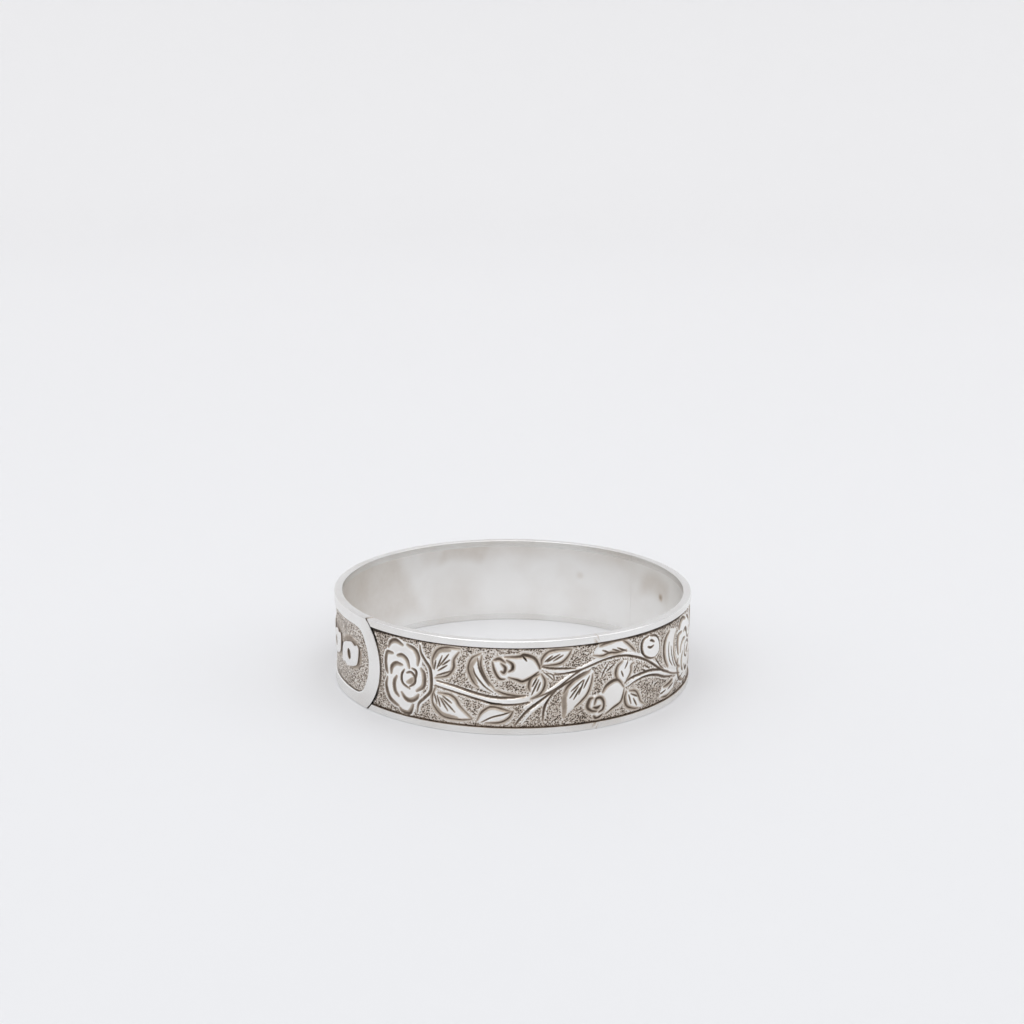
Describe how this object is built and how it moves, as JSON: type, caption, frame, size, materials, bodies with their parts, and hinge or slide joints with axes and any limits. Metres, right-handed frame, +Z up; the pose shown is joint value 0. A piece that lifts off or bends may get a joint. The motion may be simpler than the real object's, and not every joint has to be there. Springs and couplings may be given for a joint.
{
  "type": "belt buckle bangle",
  "caption": "Hinged silver bangle shaped as a buckled belt: hollow band with chased roses, solid rims, rounded strap end with eyelets, and a snap catch at its tip.",
  "frame": {"origin": "centre of the circle that the band stands on, at floor level", "axes": "+Z up along the band's axis, -Y to the front where the chased vine is, +X right; the strap's tip is at the front left and the hinge at the rear right"},
  "size_m": [0.066, 0.066, 0.0168],
  "materials": {
    "polished_silver": "polished sterling silver with fine wear scratches",
    "chased_silver": "chased and stippled sterling silver, dark brown oxide in the hollows",
    "inner_silver": "smooth silver lining with faint tarnish",
    "hidden_silver": "unpolished silver sheet"
  },
  "bodies": {
    "belt_half": {"belt_shell": "chased_silver", "belt_lining": "inner_silver", "belt_top_rim": "polished_silver", "belt_bottom_rim": "polished_silver", "belt_hinge_plate": "hidden_silver", "catch_plate": "hidden_silver", "catch_box": "hidden_silver", "strap_end_plate": "chased_silver", "strap_end_border": "polished_silver", "eyelet_1": "polished_silver", "eyelet_2": "polished_silver", "eyelet_3": "polished_silver", "eyelet_4": "polished_silver", "eyelet_5": "polished_silver", "buckle_frame": "polished_silver", "buckle_crossbar": "polished_silver", "buckle_prong": "polished_silver", "hinge_knuckle_1": "polished_silver", "hinge_knuckle_3": "polished_silver", "hinge_knuckle_5": "polished_silver", "hinge_pin": "hidden_silver"},
    "floral_half": {"floral_shell": "chased_silver", "floral_lining": "inner_silver", "floral_top_rim": "polished_silver", "floral_bottom_rim": "polished_silver", "floral_hinge_plate": "hidden_silver", "tongue_plate": "hidden_silver", "catch_tongue": "hidden_silver", "hinge_knuckle_2": "polished_silver", "hinge_knuckle_4": "polished_silver"},
    "spring_leaf": {"catch_spring": "hidden_silver"}
  },
  "joints": [
    {"name": "main_hinge", "type": "hinge", "parent": "belt_half", "child": "floral_half", "pos_m": [0.0246, 0.02215, 0.00838], "axis": [0, 0, 1], "range_deg": [0, 60]},
    {"name": "spring_flex", "type": "hinge", "parent": "floral_half", "child": "spring_leaf", "pos_m": [-0.02568, -0.01935, 0.00838], "axis": [0, 0, 1], "range_deg": [0, 2], "stiffness_Nm_per_rad": 0.1}
  ]
}
